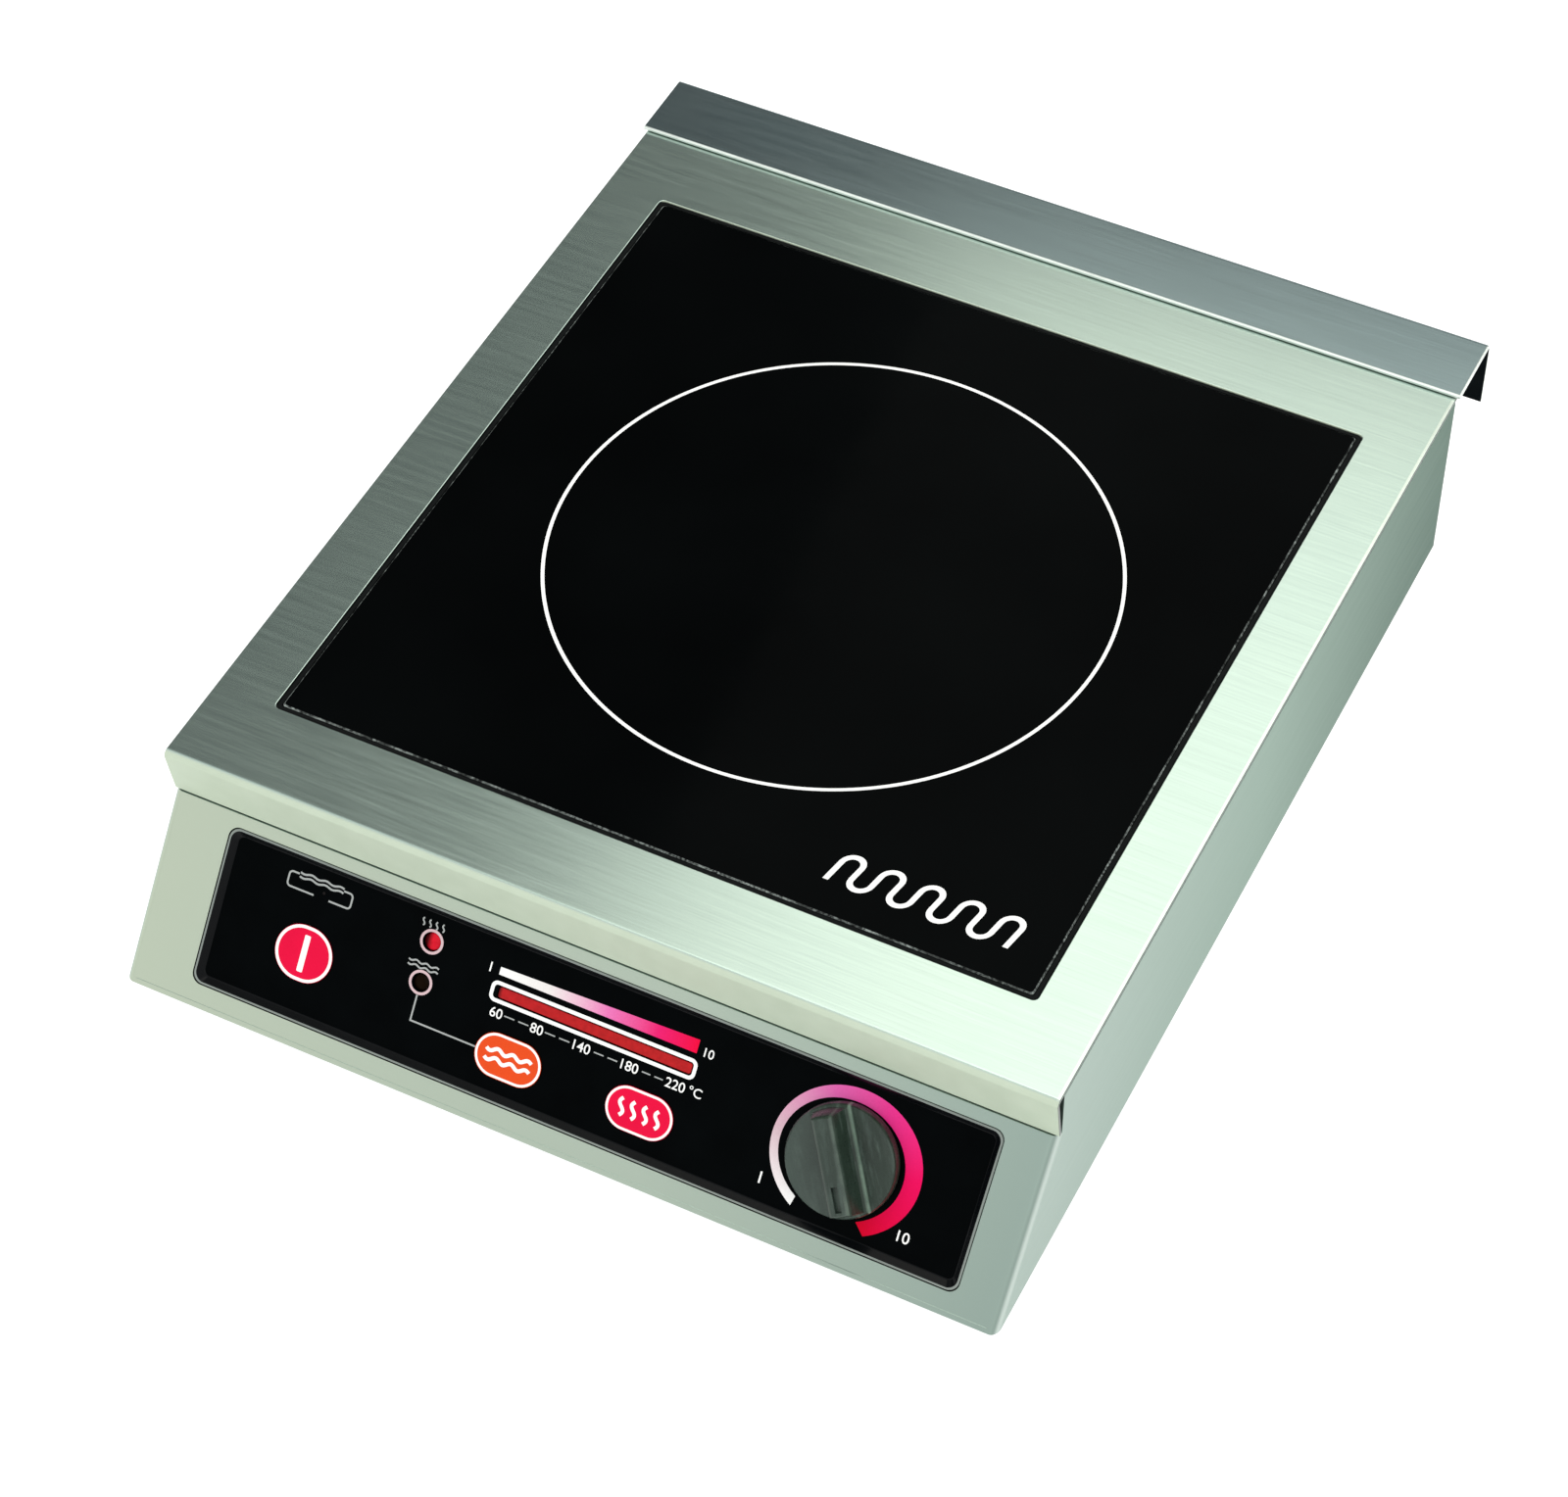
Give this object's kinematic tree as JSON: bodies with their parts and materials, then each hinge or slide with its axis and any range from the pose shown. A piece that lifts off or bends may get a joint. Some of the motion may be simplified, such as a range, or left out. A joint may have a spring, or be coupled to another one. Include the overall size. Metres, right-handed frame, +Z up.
{
  "type": "countertop induction hob",
  "caption": "Countertop induction hob with a flush black glass, folded steel casing, sloping panel with knob and push buttons, and an air outlet hood at the rear.",
  "frame": {"origin": "on the worktop, under the middle of the bounding box", "axes": "+X to the user's right, +Y from the control panel to the rear, +Z up"},
  "size_m": [0.333, 0.422, 0.0925],
  "materials": {
    "brushed_stainless": "brushed, satin, brushing along the width",
    "brushed_stainless_dark": "brushed, satin, in shade",
    "galvanised_steel": "dull zinc",
    "silicone_sealant": "matt bead",
    "ceramic_glass": "polished, opaque black, with a white printed ring",
    "mica": "matt",
    "copper": "varnished",
    "black_plastic": "fine moulded texture",
    "aluminium": "as extruded",
    "gloss_black_plastic": "polished, with printed scales",
    "crimson_plastic": "satin with a white printed outline",
    "orange_plastic": "satin with a white printed outline",
    "red_lens": "translucent, lit",
    "dark_red_lens": "translucent, unlit",
    "grey_green_plastic": "satin moulded",
    "brass": "turned",
    "circuit_board": "solder mask",
    "blue_plastic": "moulded",
    "ivory_plastic": "moulded",
    "ferrite": "ground",
    "black_rubber": "matt moulded"
  },
  "bodies": {
    "casing": {"top_plate": "brushed_stainless", "rear_flange": "brushed_stainless_dark", "body_wrap": "brushed_stainless", "rear_panel": "brushed_stainless", "base_plate": "galvanised_steel", "glass_seal": "silicone_sealant", "glass_support_frame": "galvanised_steel", "glass_panel": "ceramic_glass", "mica_sheet": "mica", "induction_coil": "copper", "coil_carrier": "black_plastic", "glass_temperature_sensor": "aluminium", "control_bezel": "gloss_black_plastic", "power_switch": "black_plastic", "warm_switch": "black_plastic", "heat_switch": "black_plastic", "heat_lamp": "red_lens", "warm_lamp": "dark_red_lens", "light_bar": "red_lens", "encoder_body": "galvanised_steel", "encoder_nut": "brass", "control_board": "circuit_board", "power_board": "circuit_board", "heatsink": "aluminium", "power_transistor_1": "black_plastic", "power_transistor_2": "black_plastic", "bridge_rectifier": "black_plastic", "resonance_capacitor": "blue_plastic", "filter_capacitor": "blue_plastic", "filter_choke": "copper", "terminal_block": "ivory_plastic", "fan_housing": "black_plastic", "cord_gland": "black_plastic", "gland_nut": "black_plastic", "coil_lead_1": "copper", "coil_lead_2": "copper", "foot_front_left": "black_rubber", "foot_front_right": "black_rubber", "foot_rear_left": "black_rubber", "foot_rear_right": "black_rubber", "ferrite_bar_1": "ferrite", "ferrite_bar_2": "ferrite", "ferrite_bar_3": "ferrite", "ferrite_bar_4": "ferrite", "ferrite_bar_5": "ferrite", "ferrite_bar_6": "ferrite", "coil_post_1": "aluminium", "coil_post_2": "aluminium", "coil_post_3": "aluminium", "board_standoff_1": "brass", "board_standoff_2": "brass", "board_standoff_3": "brass", "board_standoff_4": "brass"},
    "knob": {"knob": "grey_green_plastic", "encoder_shaft": "aluminium"},
    "power_button": {"power_button": "crimson_plastic"},
    "warm_button": {"warm_button": "orange_plastic"},
    "heat_button": {"heat_button": "crimson_plastic"},
    "fan_rotor": {"fan_rotor": "black_plastic"}
  },
  "joints": [
    {"name": "knob_turn", "type": "hinge", "parent": "casing", "child": "knob", "pos_m": [0.0986, -0.1866, 0.04106], "axis": [0, -0.7817, 0.6237], "range_deg": [0, 298.5]},
    {"name": "power_press", "type": "slide", "parent": "casing", "child": "power_button", "axis": [0, 0.7817, -0.6237], "range_m": [0, 0.001], "stiffness_N_per_m": 1500, "springref_m": -0.0005},
    {"name": "warm_press", "type": "slide", "parent": "casing", "child": "warm_button", "axis": [0, 0.7817, -0.6237], "range_m": [0, 0.001], "stiffness_N_per_m": 1500, "springref_m": -0.0005},
    {"name": "heat_press", "type": "slide", "parent": "casing", "child": "heat_button", "axis": [0, 0.7817, -0.6237], "range_m": [0, 0.001], "stiffness_N_per_m": 1500, "springref_m": -0.0005},
    {"name": "fan_spin", "type": "hinge", "parent": "casing", "child": "fan_rotor", "pos_m": [-0.088, 0.112, 0.031], "axis": [0, 0, 1], "continuous": true}
  ]
}
